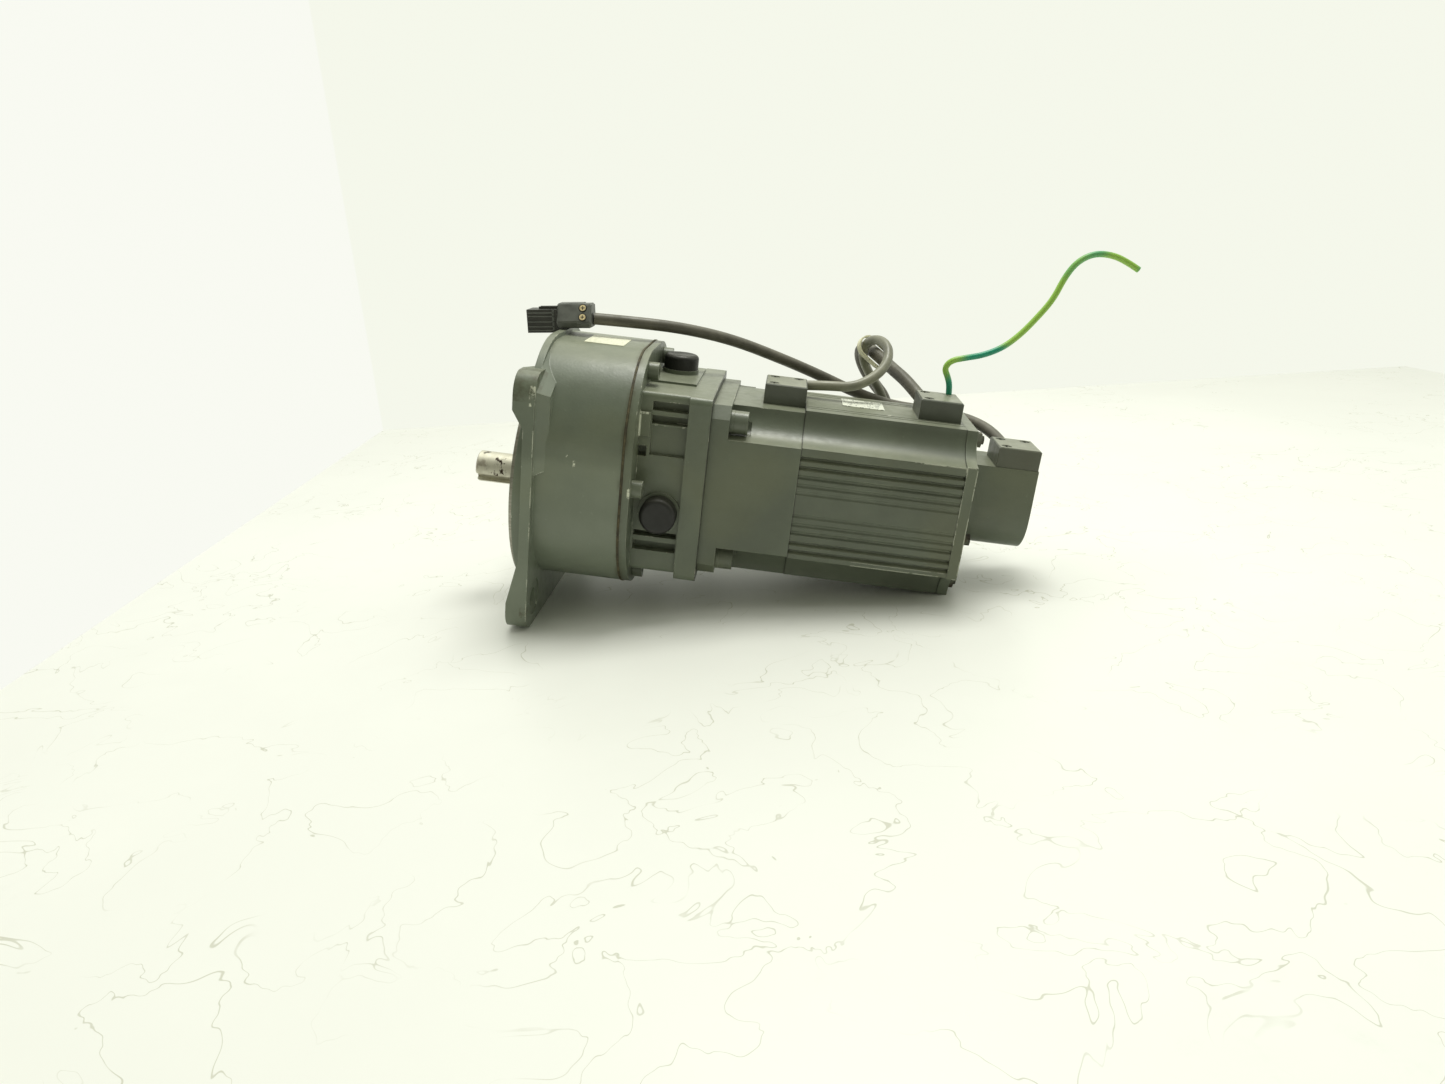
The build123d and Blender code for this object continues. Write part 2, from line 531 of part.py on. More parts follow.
CORE_X = 168.0
CORE_W = 66.0
SLOTS = 12
with BuildPart() as stator_core:
    with Locations(along(CORE_X, 0, OFFSET)):
        Cylinder(CORE_R, CORE_W, align=BASE)
        Cylinder(26.5, CORE_W, align=BASE, mode=Mode.SUBTRACT)
        with PolarLocations(31.5, SLOTS):
            Box(8.0, 8.0, CORE_W, align=BASE, mode=Mode.SUBTRACT)
save(stator_core, "stator_core")
with BuildPart() as windings:
    with Locations(along(CORE_X, 0, OFFSET)):
        with PolarLocations(31.5, SLOTS):
            Box(8.0, 8.0, CORE_W, align=BASE)
    for x in (CORE_X - 7, CORE_X + CORE_W):
        with Locations(along(x, 0, OFFSET)):
            Cylinder(38, 7, align=BASE)
            Cylinder(27.6, 7, align=BASE, mode=Mode.SUBTRACT)
save(windings, "stator_windings")

with BuildPart() as rear_bracket:
    extrude(plus_outline(STATOR_END, MOTOR_HALF, MOTOR_HALF, -2 * COVE_STEP), amount=REAR_END - STATOR_END)
    with Locations(along(241, 0, OFFSET)):
        Cylinder(22, STATOR_END - 241, align=BASE)
        Cylinder(17.5, 11, align=BASE, mode=Mode.SUBTRACT)
        Cylinder(10.5, 20, align=BASE, mode=Mode.SUBTRACT)
save(rear_bracket, "motor_rear_bracket")
ball_bearing("motor_rear_bearing", [(241, 0, OFFSET)], 7.5, 17.5, 11, 8)

TIE_BOLT_Y = 21.5
TIE_BOLT_Z = 43.5
TIE_NUT = 4.0            # height, and half the width across flats
with BuildPart() as tie_bolts:
    for y, z in corners(TIE_BOLT_Y, TIE_BOLT_Z, OFFSET):
        with BuildSketch(Plane.YZ.offset(REAR_END)):
            with Locations((y, z)):
                RegularPolygon(TIE_NUT, 6, major_radius=False)
        extrude(amount=TIE_NUT)
        with Locations(along(REAR_END + TIE_NUT, y, z)):
            Cylinder(2.5, 1.5, align=BASE)
save(tie_bolts, "tie_bolts")

# ---- rotor --------------------------------------------------------------------------------
MAGNETS = 8
with BuildPart() as motor_shaft:
    with Locations(along(HUB_X + 1, 0, OFFSET)):
        Cylinder(SHAFT_R, 106 - HUB_X - 1, align=BASE)
    with Locations(along(FRONT_SEAT, 0, OFFSET)):
        Cylinder(10, CORE_X - FRONT_SEAT, align=BASE)
    with Locations(along(CORE_X, 0, OFFSET)):
        Cylinder(11, CORE_W, align=BASE)
    with Locations(along(CORE_X + CORE_W, 0, OFFSET)):
        Cylinder(7.5, 252 - CORE_X - CORE_W, align=BASE)
    with Locations(along(252, 0, OFFSET)):
        Cylinder(4, 24, align=BASE)
save(motor_shaft, "motor_shaft")
ring_part("rotor_core", [(CORE_X, 0, OFFSET)], 22.5, 11, CORE_W)
with BuildPart() as magnets:
    with Locations(along(CORE_X + 1, 0, OFFSET)):
        Cylinder(25.7, CORE_W - 2, align=BASE)
        Cylinder(22.5, CORE_W - 2, align=BASE, mode=Mode.SUBTRACT)
        with PolarLocations(24, MAGNETS):
            Box(6, 2.4, CORE_W - 2, align=BASE, mode=Mode.SUBTRACT)
save(magnets, "rotor_magnets")

# ---- encoder ------------------------------------------------------------------------------
COVER_HALF = 20.5
COVER_TOP = OFFSET + 28.4
COVER_MIDDLE = OFFSET + 4.0
COVER_LOW = OFFSET - 2.5
COVER_LEAN = 1.4


def cover_outline(x, inset):
    half = COVER_HALF - inset
    with BuildSketch(Plane.YZ.offset(x)) as sketch:
        with BuildLine():
            Polyline((-half, COVER_LOW), (half, COVER_LOW), (half, COVER_MIDDLE), (half - COVER_LEAN, COVER_TOP - inset),
                     (COVER_LEAN - half, COVER_TOP - inset), (-half, COVER_MIDDLE), close=True)
        make_face()
        with Locations((0, COVER_LOW)):
            Circle(half)
    return sketch.sketch


COVER_WALL = 2.5
COVER_EAR_Y = 24.5
COVER_EAR_Z = OFFSET - 16
COVER_EAR_R = 4.5
COVER_EAR_THICK = 5.0
EARS = [(-COVER_EAR_Y, COVER_EAR_Z), (COVER_EAR_Y, COVER_EAR_Z)]
with BuildPart() as encoder_cover:
    extrude(cover_outline(REAR_END, 0), amount=COVER_END - REAR_END)
    extrude(cover_outline(REAR_END, COVER_WALL), amount=COVER_END - REAR_END - 3, mode=Mode.SUBTRACT)
    with Locations(*[along(REAR_END, y, z) for y, z in EARS]):
        Cylinder(COVER_EAR_R, COVER_EAR_THICK, align=BASE)
    with BuildSketch(Plane.YZ.offset(REAR_END)):
        with Locations((0, COVER_EAR_Z)):
            Rectangle(2 * COVER_EAR_Y, 6)
        with Locations((0, COVER_EAR_Z)):
            Rectangle(32, 6, mode=Mode.SUBTRACT)
    extrude(amount=COVER_EAR_THICK)
    with Locations(*[along(REAR_END, y, z) for y, z in EARS]):
        Cylinder(2, 6, align=BASE, mode=Mode.SUBTRACT)
save(encoder_cover, "encoder_cover")
with BuildPart() as cover_screws:
    for y, z in EARS:
        with Locations(along(REAR_END, y, z)):
            Cylinder(2, COVER_EAR_THICK, align=BASE)
        with Locations(along(REAR_END + COVER_EAR_THICK, y, z)):
            Cylinder(3.5, 3.2, align=BASE)
save(cover_screws, "encoder_cover_screws")
with BuildPart() as encoder_disc:
    with Locations(along(268, 0, OFFSET)):
        Cylinder(16, 1.2, align=BASE)
        Cylinder(7, 5, align=BASE)
        Cylinder(4, 5, align=BASE, mode=Mode.SUBTRACT)
save(encoder_disc, "encoder_disc")
with BuildPart() as encoder_board:
    extrude(cover_outline(284, COVER_WALL), amount=1.6)
save(encoder_board, "encoder_board")

# ---- lead routes: corner points of the centre lines ----------------------------------------
ENCODER_LEAD = [
    (24.8, 8, 97.2), (50, 11.5, 97.5), (78, 22, 96), (107, 35, 91), (136, 47, 82), (163, 55, 73),
    (189, 59, 63.5), (213, 61, 57.5), (236, 60, 57), (254, 52.5, 57.5), (268, 40, 56.5),
    (277, 25, 53), (280, 10, 49.5),
]
BRAKE_LEAD = [
    (156.1, 12.5, 72), (169.5, 12, 73.5), (183, 12, 74), (194.5, 16, 79.5), (203, 24, 87.5),
    (204.5, 34.5, 96), (200, 45.5, 100.5), (192.5, 55.5, 98), (190, 62.5, 88), (197, 67, 75.5),
    (208, 70.5, 63), (217, 73.5, 42), (221, 75, 25), (220, 76.5, 8), (212, 78, -9), (198, 79, -23),
    (181, 80, -33), (163, 81, -41),
]
POWER_LEAD = [
    (228, 16, 70), (218.5, 30, 78.5), (210, 45, 83), (201.5, 60, 88), (193, 74, 92.5),
    (190, 83.5, 87), (194.5, 88.5, 76.5), (203, 89.5, 66.5), (213, 90, 57), (218, 90.5, 41),
    (217.5, 91, 24), (210, 92, 8), (198, 93, -5), (183, 93.5, -16), (166, 94, -26),
    (148, 94, -34.5), (129, 94.5, -41.5),
]
EARTH_WIRE = [
    (241.5, 13, 76.8), (241, 12.5, 82), (239, 12.5, 87), (236, 12, 92), (239, 12, 97),
    (247.5, 12.5, 99.5), (257.5, 14, 102), (268.5, 16, 107.5), (277.5, 18, 116), (285.5, 20, 126.5),
    (293, 21.5, 138), (297, 23, 150.5), (302, 24, 159.5), (309.5, 24.5, 165), (318, 24.5, 167),
    (328.5, 24.5, 164.5), (339.5, 24.5, 159),
]

# ---- outlet blocks ------------------------------------------------------------------------
BLOCK_X = 24.5
BLOCK_Z = 11.8
LAND_TOP = OFFSET + MOTOR_HALF
# name: front-face station, near side, far side, underside height, lead's end, its next point, hole radius
BLOCKS = {
    "brake_outlet_block": (131.6, -16.0, 16.0, LAND_TOP - TOP_DROP, BRAKE_LEAD[0], BRAKE_LEAD[1], 3.05),
    "power_outlet_block": (222.0, -15.0, 16.0, LAND_TOP, POWER_LEAD[0], POWER_LEAD[1], 4.05),
    "encoder_outlet_block": (270.5, -18.7, 10.0, COVER_TOP, ENCODER_LEAD[-1], ENCODER_LEAD[-2], 3.55),
}
SCREW_R = 2.9
screw_spots = []
for name, (x, near, far, z, end, towards, hole_r) in BLOCKS.items():
    spots = [(x + 5, near + 5), (x + 5, far - 5), (x + 19.5, far - 5)]
    with BuildPart() as block:
        with Locations((x + BLOCK_X / 2, (near + far) / 2, z)):
            Box(BLOCK_X, far - near, BLOCK_Z, align=BASE)
        chamfer(block.edges().group_by(Axis.Z)[-1], 0.7)
        with BuildSketch(Plane(origin=end, z_dir=Vector(*towards) - Vector(*end))):
            Circle(hole_r)
        extrude(amount=8, both=True, mode=Mode.SUBTRACT)
        for sx, sy in spots:
            if name == "power_outlet_block" and sx > x + 10:
                continue
            with Locations(up_at(sx, sy, z + BLOCK_Z - 1.8)):
                Cylinder(SCREW_R, 1.8, align=BASE, mode=Mode.SUBTRACT)
            screw_spots.append((sx, sy, z + BLOCK_Z - 1.8))
    save(block, name)
with BuildPart() as block_screws:
    for x, y, z in screw_spots:
        with Locations(up_at(x, y, z)):
            Cylinder(SCREW_R, 1.5, align=BASE)
        with Locations(up_at(x, y, z + 0.9)):
            Box(3.6, 0.8, 0.6, align=BASE, mode=Mode.SUBTRACT)
            Box(0.8, 3.6, 0.6, align=BASE, mode=Mode.SUBTRACT)
save(block_screws, "outlet_block_screws")

with BuildPart() as motor_label:
    with Locations(up_at(191, 8.5, LAND_TOP)):
        Box(25, 22, 0.3, align=BASE)
save(motor_label, "motor_label")

# ---- leads --------------------------------------------------------------------------------
def cord(name, route, diameter):
    """Tube along straight runs joined by the largest tangent arcs they allow."""
    corners_at = [Vector(*point) for point in route]
    runs = [b - a for a, b in zip(corners_at, corners_at[1:])]
    radii = []
    for before, after in zip(runs, runs[1:]):
        turn = radians(before.get_angle(after))
        radii.append(0.45 * min(before.length, after.length) / tan(turn / 2))
    with BuildPart() as tube:
        with BuildLine() as path:
            FilletPolyline(*corners_at, radius=radii)
        with BuildSketch(Plane(origin=corners_at[0], z_dir=runs[0])):
            Circle(diameter / 2)
        sweep()
    length = path.wire().length
    print(name, "length", round(length), "radii", [round(r) for r in radii],
          "volume ratio", round(tube.part.volume / (pi * diameter ** 2 / 4 * length), 3))
    save(tube, name)
    return corners_at[-1], runs[-1]


cord("encoder_lead", ENCODER_LEAD, 7.0)
brake_end, brake_dir = cord("brake_lead", BRAKE_LEAD, 6.0)
power_end, power_dir = cord("power_lead", POWER_LEAD, 8.0)
cord("earth_wire", EARTH_WIRE, 3.6)


# insulated conductors standing out of the two cut jackets: end, direction, circle, radius, count, length
CORES = [(brake_end, brake_dir, 1.4, 0.9, 2, 14), (power_end, power_dir, 1.9, 1.3, 3, 16)]
with BuildPart() as lead_cores:
    for end, direction, circle_r, core_r, count, core_length in CORES:
        with BuildSketch(Plane(origin=end, z_dir=direction)):
            with PolarLocations(circle_r, count):
                Circle(core_r)
        extrude(amount=core_length)
save(lead_cores, "lead_cores")

# ---- cable connector, lying on the far side of the case top ---------------------------------
CONNECTOR = Plane(origin=(24, 8, 98.8), x_dir=(cos(radians(7)), 0, sin(radians(7))),
                  z_dir=(-sin(radians(7)), 0, cos(radians(7))))
HOOD_L = 20.5
NOSE_L = 18.0
with BuildPart() as hood:
    with BuildSketch(CONNECTOR.offset(-6.5)):
        with Locations((-HOOD_L / 2, 0)):
            RectangleRounded(HOOD_L, 17, 1.5)
    extrude(amount=13)
    with BuildSketch(CONNECTOR.offset(6.5)):
        with Locations((-HOOD_L / 2 - 1, 0)):
            Rectangle(HOOD_L - 7, 11)
    extrude(amount=1.2)
    with Locations(CONNECTOR.location):
        with Locations((-5, -8.5, -3.4), (-5, -8.5, 3.4)):
            Cylinder(2.0, 3, rotation=(90, 0, 0), mode=Mode.SUBTRACT)
save(hood, "connector_hood")
with BuildPart() as connector_screws:
    with Locations(CONNECTOR.location):
        with Locations((-5, -7.6, -3.4), (-5, -7.6, 3.4)):
            Cylinder(2.0, 1.2, rotation=(90, 0, 0))
save(connector_screws, "connector_screws")
with BuildPart() as nose:
    with BuildSketch(CONNECTOR.offset(-9)):
        with Locations((-HOOD_L - NOSE_L / 2, 0)):
            Rectangle(NOSE_L, 14)
    extrude(amount=13.5)
    # two rows of contact cavities
    with Locations(CONNECTOR.location):
        for row in (-5.2, 0.8):
            for column in (-4.3, 0, 4.3):
                with Locations((-HOOD_L - NOSE_L + 4, column, row)):
                    Box(8.1, 3.0, 4.0, mode=Mode.SUBTRACT)
        for column in (-2.2, 2.2):
            with Locations((-HOOD_L - 6, column, 4.5)):
                Box(11, 1.0, 1.4, align=BASE)
save(nose, "connector_insert")

# ---- cable tie round the brake and power leads ----------------------------------------------
across_leads = Vector(0.816, 0.094, -0.570).normalized()
along_leads = Vector(-0.389, 0.820, -0.421)
TIE = Plane(origin=(197.7, 58.9, 90.5), x_dir=across_leads,
            z_dir=(along_leads - across_leads * along_leads.dot(across_leads)).normalized())
STRAP_L = 22.9
STRAP_W = 12.6
HEAD_Y = -STRAP_W / 2 - 2.6
with BuildPart() as cable_tie:
    with BuildSketch(TIE.offset(-1.8)):
        RectangleRounded(STRAP_L + 2, STRAP_W + 2, STRAP_W / 2 + 0.9)
        RectangleRounded(STRAP_L, STRAP_W, STRAP_W / 2 - 0.1, mode=Mode.SUBTRACT)
    extrude(amount=3.6)
    with BuildSketch(TIE.offset(-2.4)):
        with Locations((1, HEAD_Y)):
            Rectangle(5, 3.4)
        with Locations((1.6, HEAD_Y - 2.4)):
            Rectangle(1.2, 1.6)
    extrude(amount=4.8)
save(cable_tie, "cable_tie")
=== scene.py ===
import json
import math

import bmesh
import bpy
from mathutils import Matrix, Vector


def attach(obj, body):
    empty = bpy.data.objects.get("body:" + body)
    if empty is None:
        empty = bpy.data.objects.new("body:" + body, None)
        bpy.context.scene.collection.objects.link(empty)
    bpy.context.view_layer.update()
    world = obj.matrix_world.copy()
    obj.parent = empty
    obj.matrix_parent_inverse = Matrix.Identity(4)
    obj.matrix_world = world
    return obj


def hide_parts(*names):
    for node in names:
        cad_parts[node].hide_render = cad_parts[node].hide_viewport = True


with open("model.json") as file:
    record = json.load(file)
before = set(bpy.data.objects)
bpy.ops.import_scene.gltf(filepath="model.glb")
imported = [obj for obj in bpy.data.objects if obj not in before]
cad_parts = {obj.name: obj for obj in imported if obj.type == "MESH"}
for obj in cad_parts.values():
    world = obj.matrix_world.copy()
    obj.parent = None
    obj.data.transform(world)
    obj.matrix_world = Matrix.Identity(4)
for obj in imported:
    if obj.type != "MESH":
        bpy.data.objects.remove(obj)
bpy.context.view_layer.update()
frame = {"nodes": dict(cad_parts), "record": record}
NODES = frame["nodes"]

MM = 0.001
MOTOR_AXIS_Z = 15  # millimetres above the output axis, which is the frame's X axis


def metres(point):
    return tuple(value * MM for value in point)


def axes_matrix(x_axis, y_axis, z_axis):
    return Matrix((x_axis, y_axis, z_axis)).transposed().to_4x4()


def add_object(name, data):
    made = bpy.data.objects.new(name, data)
    bpy.context.scene.collection.objects.link(made)
    return made


# ---- camera -------------------------------------------------------------------------------
# Solved from the straight edges of the object in the photograph.
IMAGE_WIDTH = 1445
FOCAL_PX = 955.8
SENSOR = 36.0  # millimetres
CLIP = (0.01, 20)
CAMERA_AT = Vector((0.1384, -0.5692, 0.1700))
LOOK = Vector((-0.03619, 0.94261, -0.33194))
UP = Vector((-0.12553, 0.32524, 0.93726))


def add_camera():
    data = bpy.data.cameras.new("camera")
    data.sensor_width = SENSOR
    data.sensor_fit = "HORIZONTAL"
    data.lens = FOCAL_PX / IMAGE_WIDTH * SENSOR
    data.clip_start, data.clip_end = CLIP
    camera = add_object("camera", data)
    look = LOOK.normalized()
    right = look.cross(UP).normalized()
    turn = axes_matrix(right, right.cross(look), -look)
    camera.matrix_world = Matrix.Translation(CAMERA_AT) @ turn
    bpy.context.scene.camera = camera


add_camera()

# ---- leads --------------------------------------------------------------------------------
# Routes in millimetres, with part.py's points. Two of the earth wire's, its highest and its last,
# are moved by about a millimetre, so that the curve's bounding box stays in the CAD model's box.
ENCODER_LEAD = [
    (24.8, 8, 97.2), (50, 11.5, 97.5), (78, 22, 96), (107, 35, 91), (136, 47, 82), (163, 55, 73),
    (189, 59, 63.5), (213, 61, 57.5), (236, 60, 57), (254, 52.5, 57.5), (268, 40, 56.5),
    (277, 25, 53), (280, 10, 49.5),
]
BRAKE_LEAD = [
    (156.1, 12.5, 72), (169.5, 12, 73.5), (183, 12, 74), (194.5, 16, 79.5), (203, 24, 87.5),
    (204.5, 34.5, 96), (200, 45.5, 100.5), (192.5, 55.5, 98), (190, 62.5, 88), (197, 67, 75.5),
    (208, 70.5, 63), (217, 73.5, 42), (221, 75, 25), (220, 76.5, 8), (212, 78, -9), (198, 79, -23),
    (181, 80, -33), (163, 81, -41),
]
POWER_LEAD = [
    (228, 16, 70), (218.5, 30, 78.5), (210, 45, 83), (201.5, 60, 88), (193, 74, 92.5),
    (190, 83.5, 87), (194.5, 88.5, 76.5), (203, 89.5, 66.5), (213, 90, 57), (218, 90.5, 41),
    (217.5, 91, 24), (210, 92, 8), (198, 93, -5), (183, 93.5, -16), (166, 94, -26),
    (148, 94, -34.5), (129, 94.5, -41.5),
]
EARTH_WIRE = [
    (241.5, 13, 76.8), (241, 12.5, 82), (239, 12.5, 87), (236, 12, 92), (239, 12, 97),
    (247.5, 12.5, 99.5), (257.5, 14, 102), (268.5, 16, 107.5), (277.5, 18, 116), (285.5, 20, 126.5),
    (293, 21.5, 138), (297, 23, 150.5), (302, 24, 159.5), (309.5, 24.5, 165), (318, 24.5, 166.4),
    (328.5, 24.5, 164.5), (338.4, 24.5, 159.6),
]


def add_lead(name, node, route, diameter):
    """A lead along its route's NURBS spline; diameter in millimetres."""
    data = bpy.data.curves.new(name, "CURVE")
    data.dimensions = "3D"
    # the bevel is this times each point's radius, and the curve's bounding box adds that radius
    data.bevel_depth = 1.0
    data.bevel_resolution = 6
    data.use_fill_caps = True
    spline = data.splines.new("NURBS")
    spline.points.add(len(route) - 1)
    for point, place in zip(spline.points, route):
        point.co = (*metres(place), 1)
        point.radius = diameter / 2 * MM
    spline.order_u = 3
    spline.use_endpoint_u = True
    spline.resolution_u = 12
    lead = add_object(name, data)
    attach(lead, "frame")
    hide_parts(node)
    return lead


encoder_lead = add_lead("lead_encoder", "encoder_lead", ENCODER_LEAD, 7.0)
brake_lead = add_lead("lead_brake", "brake_lead", BRAKE_LEAD, 6.0)
power_lead = add_lead("lead_power", "power_lead", POWER_LEAD, 8.0)
earth_wire = add_lead("wire_earth", "earth_wire", EARTH_WIRE, 3.6)


# ---- materials ----------------------------------------------------------------------------
# Colours are linear, distances in metres, and noise scales in cycles per metre.
class Shade:
    """A node material being put together."""

    def __init__(self, name, roughness, metallic=0.0):
        self.material = bpy.data.materials.new(name)
        self.material.use_nodes = True
        self.tree = self.material.node_tree
        self.shader = self.tree.nodes["Principled BSDF"]
        self.shader.inputs["Roughness"].default_value = roughness
        self.shader.inputs["Metallic"].default_value = metallic
        self.place = self.node("ShaderNodeTexCoord").outputs["Object"]

    def node(self, kind, **values):
        made = self.tree.nodes.new(kind)
        for key, value in values.items():
            setattr(made, key, value)
        return made

    def link(self, source, target):
        self.tree.links.new(source, target)

    def parts_of(self, vector):
        """A vector's X, Y and Z sockets."""
        split = self.node("ShaderNodeSeparateXYZ")
        self.link(vector, split.inputs[0])
        return split.outputs

    def stretched(self, scale):
        mapping = self.node("ShaderNodeMapping")
        mapping.inputs["Scale"].default_value = scale
        self.link(self.place, mapping.inputs["Vector"])
        return mapping.outputs["Vector"]

    def noise(self, scale, detail, rough, stretch=None, distortion=0.0):
        made = self.node("ShaderNodeTexNoise")
        made.inputs["Scale"].default_value = scale
        made.inputs["Detail"].default_value = detail
        made.inputs["Roughness"].default_value = rough
        made.inputs["Distortion"].default_value = distortion
        self.link(self.stretched(stretch) if stretch else self.place, made.inputs["Vector"])
        return made.outputs["Fac"]

    def ramp(self, value, low, high, start=0.0, end=1.0):
        """value from low..high mapped to start..end, smooth and clamped."""
        made = self.node("ShaderNodeMapRange", interpolation_type="SMOOTHSTEP")
        made.inputs["From Min"].default_value = low
        made.inputs["From Max"].default_value = high
        made.inputs["To Min"].default_value = start
        made.inputs["To Max"].default_value = end
        self.link(value, made.inputs["Value"])
        return made.outputs["Result"]

    def math(self, operation, a, b=None):
        made = self.node("ShaderNodeMath", operation=operation)
        for socket, value in zip(made.inputs, (a, b)):
            if value is None:
                continue
            if isinstance(value, (int, float)):
                socket.default_value = value
            else:
                self.link(value, socket)
        return made.outputs["Value"]

    def mix(self, amount, first, second):
        """Colour mix; first and second are colours or sockets."""
        made = self.node("ShaderNodeMix", data_type="RGBA")
        self.link(amount, made.inputs["Factor"])
        for name, value in (("A", first), ("B", second)):
            socket = [s for s in made.inputs if s.name == name and s.type == "RGBA"][0]
            if isinstance(value, tuple):
                socket.default_value = (*value, 1)
            else:
                self.link(value, socket)
        return [s for s in made.outputs if s.type == "RGBA"][0]

    def edges(self, radius, sharp=0.9):
        """1 along convex and concave edges, 0 on flats."""
        bevel = self.node("ShaderNodeBevel", samples=4)
        bevel.inputs["Radius"].default_value = radius
        geometry = self.node("ShaderNodeNewGeometry")
        dot = self.node("ShaderNodeVectorMath", operation="DOT_PRODUCT")
        self.link(bevel.outputs["Normal"], dot.inputs[0])
        self.link(geometry.outputs["Normal"], dot.inputs[1])
        return self.ramp(dot.outputs["Value"], sharp, 0.995, 1.0, 0.0)

    def inside(self, low, high, soft=0.0003):
        """1 within a box given by two corners in metres, 0 outside."""
        mask = None
        for place, a, b in zip(self.parts_of(self.place), low, high):
            rise = self.ramp(place, a - soft, a + soft)
            fall = self.ramp(place, b - soft, b + soft, 1, 0)
            both = self.math("MULTIPLY", rise, fall)
            mask = both if mask is None else self.math("MULTIPLY", mask, both)
        return mask

    def facing_up(self, low, high):
        """0 to 1 as the surface's normal turns up, by its Z from low to high."""
        normal = self.node("ShaderNodeNewGeometry").outputs["Normal"]
        return self.ramp(self.parts_of(normal)["Z"], low, high)

    def colour(self, value):
        self.link(value, self.shader.inputs["Base Color"])

    def over(self, amount, tint):
        """Lay a tint over the colour that the shader already has."""
        source = self.shader.inputs["Base Color"].links[0].from_socket
        self.colour(self.mix(amount, source, tint))

    def rough(self, value):
        self.link(value, self.shader.inputs["Roughness"])

    def bump(self, height, strength, distance, soft_edge=0.0):
        made = self.node("ShaderNodeBump")
        made.inputs["Strength"].default_value = strength
        made.inputs["Distance"].default_value = distance
        self.link(height, made.inputs["Height"])
        if soft_edge > 0:
            bevel = self.node("ShaderNodeBevel", samples=4)
            bevel.inputs["Radius"].default_value = soft_edge
            self.link(bevel.outputs["Normal"], made.inputs["Normal"])
        self.link(made.outputs["Normal"], self.shader.inputs["Normal"])


def shaded(colour, factor):
    return tuple(min(1, c * factor) for c in colour)


# dust on upward faces, which also stands in for the light falling on them: painted top light
DUST_AND_TOP_LIGHT = (0.33, 0.34, 0.25)
# painted light: the lighter tone of a side below a height, lit from the floor
LOWER_SIDE_LIGHT = (0.33, 0.37, 0.28)
RUBBED = (0.34, 0.36, 0.27)
PRIMER = (0.72, 0.73, 0.60)
NICK = (0.6, 0.6, 0.5)
WORN = (0.66, 0.68, 0.55)
GRIME = (0.035, 0.020, 0.012)


def painted(name, base, chips=0.62, top_dust_and_light=0.5, cast=0.35):
    """Grey-green enamel with mottling, dust and painted top light on upward faces, and chipped
    edges.

    chips is the noise level above which an edge is chipped, and cast is the strength of the grain.
    """
    s = Shade(name, roughness=0.4)
    warm = (base[0] * 1.22, base[1] * 1.12, base[2] * 0.88)
    tone = s.mix(s.ramp(s.noise(24, 5, 0.6), 0.32, 0.7), shaded(base, 0.88), shaded(base, 1.12))
    tone = s.mix(s.ramp(s.noise(11, 3, 0.5), 0.52, 0.72, 0, 0.5), tone, warm)
    speck = s.ramp(s.noise(420, 2, 0.5), 0.68, 0.78, 0, 0.3)
    tone = s.mix(speck, tone, shaded(base, 1.6))
    # painted top light together with dust: upward faces turn lighter
    cloud = s.ramp(s.noise(60, 6, 0.7), 0.3, 0.75, top_dust_and_light * 0.6, top_dust_and_light)
    tone = s.mix(s.math("MULTIPLY", s.facing_up(0.80, 0.93), cloud), tone, DUST_AND_TOP_LIGHT)
    edge = s.edges(0.0009)
    rubbed = s.math("MULTIPLY", edge, s.ramp(s.noise(34, 6, 0.7), 0.45, 0.66, 0.05, 0.5))
    tone = s.mix(rubbed, tone, RUBBED)
    chipped = s.math("MULTIPLY", edge, s.ramp(s.noise(75, 8, 0.72), chips, chips + 0.03))
    tone = s.mix(chipped, tone, PRIMER)
    nick = s.ramp(s.noise(105, 2, 0.4), 0.80, 0.81)
    s.colour(s.mix(nick, tone, NICK))
    s.rough(s.ramp(s.noise(180, 4, 0.6), 0.25, 0.8, 0.30, 0.46))
    s.bump(s.noise(650, 3, 0.55), strength=cast, distance=0.0002, soft_edge=0.0006)
    return s


def paler_below(s, height, amount, soft):
    """Painted light: below a height a side is lighter, for the pale floor's light on it; soft is
    half the fade between.
    """
    s.over(s.ramp(s.parts_of(s.place)["Z"], height - soft, height + soft, amount, 0), LOWER_SIDE_LIGHT)


def wear(s, low, high, threshold, grain=130, edge_only=True, fade=0.05, tint=WORN):
    """Marks in a box given by two corners in millimetres, on its edges only or all over it.

    They are where noise of the grain's scale is above the threshold, and fade in above it.
    """
    spots = s.ramp(s.noise(grain, 7, 0.7), threshold, threshold + fade)
    amount = s.math("MULTIPLY", s.inside(metres(low), metres(high)), spots)
    if edge_only:
        amount = s.math("MULTIPLY", amount, s.edges(0.0010, 0.97))
    s.over(amount, tint)


def seam_stain_and_shade(s, station, tint, width=0.0007, reach=0.0028):
    """Dark joint line at a station along X, bled into the paint on both sides; it draws the seal's
    stain and the painted shade in gaps between parts.
    """
    away = s.math("ABSOLUTE", s.math("SUBTRACT", s.parts_of(s.place)["X"], station))
    spread = s.ramp(s.noise(55, 5, 0.7), 0.35, 0.75)
    near = s.ramp(away, width * 0.5, width, 1, 0)
    bled = s.math("MULTIPLY", s.ramp(away, width, reach, 0.75, 0), spread)
    s.over(s.math("MAXIMUM", near, bled), tint)


def machined_front(s):
    """Bare turned metal on everything that stands in front of the flange's mounting plane."""
    bare = s.ramp(s.parts_of(s.place)["X"], -0.0004, -0.0001, 1, 0)
    rings = s.noise(1, 3, 0.6, stretch=(8, 900, 900))
    s.over(bare, s.mix(s.ramp(rings, 0.3, 0.7), (0.27, 0.26, 0.22), (0.39, 0.38, 0.33)))
    s.link(bare, s.shader.inputs["Metallic"])


